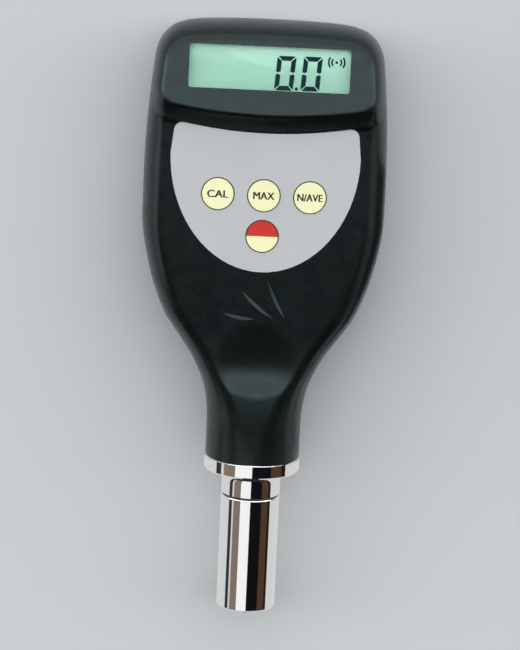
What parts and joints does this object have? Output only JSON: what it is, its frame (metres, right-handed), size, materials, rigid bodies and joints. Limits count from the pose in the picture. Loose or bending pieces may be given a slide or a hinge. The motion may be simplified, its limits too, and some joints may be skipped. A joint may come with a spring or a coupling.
{
  "type": "handheld durometer",
  "caption": "Handheld digital durometer: fan-shaped moulded housing with a display hood and keypad, chromed collar and barrel, sprung indenter in the presser foot, sliding battery cover.",
  "frame": {"origin": "middle of the part's box, on the surface that it lies on", "axes": "+Y along the barrel's axis towards the head, +Z out of the display, the presser foot faces -Y"},
  "size_m": [0.065, 0.1644, 0.0284],
  "materials": {
    "housing": "fine matte grain",
    "window": "clear",
    "lcd": "satin",
    "inner_plastic": "moulded",
    "elastomer": "matte",
    "board": "solder mask",
    "panel": "satin film",
    "key_cream": "satin",
    "key_red": "satin, lower half cream",
    "chrome": "polished",
    "steel": "ground",
    "brass": "turned",
    "ferrite": "sintered",
    "bobbin": "moulded",
    "copper": "enamelled wire",
    "ribbon": "film",
    "cell_jacket": "film jacket"
  },
  "bodies": {
    "instrument": {"front_shell": "housing", "rear_shell": "housing", "display_window": "window", "lcd_panel": "lcd", "lcd_holder": "inner_plastic", "zebra_strip": "elastomer", "main_board": "board", "board_screws": "steel", "keypad_panel": "panel", "switch_cal": "inner_plastic", "switch_max": "inner_plastic", "switch_average": "inner_plastic", "switch_power": "inner_plastic", "collar": "chrome", "barrel": "chrome", "guide_bush": "brass", "indenter_spring": "steel", "preload_nut": "brass", "coil_bobbin": "bobbin", "coil_winding": "copper", "sensor_ribbon": "ribbon", "battery_1": "cell_jacket", "battery_2": "cell_jacket", "battery_3": "cell_jacket", "battery_4": "cell_jacket", "contact_spring_1": "steel", "contact_spring_2": "steel", "contact_spring_3": "steel", "contact_spring_4": "steel", "contact_plate_1": "steel", "contact_plate_2": "steel", "contact_plate_3": "steel", "contact_plate_4": "steel", "case_screws": "steel"},
    "indenter": {"indenter": "steel", "sensor_core": "ferrite"},
    "key_cal": {"key_cal": "key_cream"},
    "key_max": {"key_max": "key_cream"},
    "key_average": {"key_average": "key_cream"},
    "key_power": {"key_power": "key_red"},
    "battery_cover": {"battery_cover": "housing"}
  },
  "joints": [
    {"name": "indenter_slide", "type": "slide", "parent": "instrument", "child": "indenter", "axis": [0, 1, 0], "range_m": [0, 0.0025], "stiffness_N_per_m": 3000, "springref_m": -0.00018, "deforming": ["indenter_spring"]},
    {"name": "key_cal_press", "type": "slide", "parent": "instrument", "child": "key_cal", "axis": [0, 0, -1], "range_m": [0, 0.00045], "stiffness_N_per_m": 1500, "springref_m": -0.0002},
    {"name": "key_max_press", "type": "slide", "parent": "instrument", "child": "key_max", "axis": [0, 0, -1], "range_m": [0, 0.00045], "stiffness_N_per_m": 1500, "springref_m": -0.0002},
    {"name": "key_average_press", "type": "slide", "parent": "instrument", "child": "key_average", "axis": [0, 0, -1], "range_m": [0, 0.00045], "stiffness_N_per_m": 1500, "springref_m": -0.0002},
    {"name": "key_power_press", "type": "slide", "parent": "instrument", "child": "key_power", "axis": [0, 0, -1], "range_m": [0, 0.00045], "stiffness_N_per_m": 1500, "springref_m": -0.0002},
    {"name": "battery_cover_slide", "type": "slide", "parent": "instrument", "child": "battery_cover", "axis": [0, 1, 0], "range_m": [0, 0.06]}
  ]
}
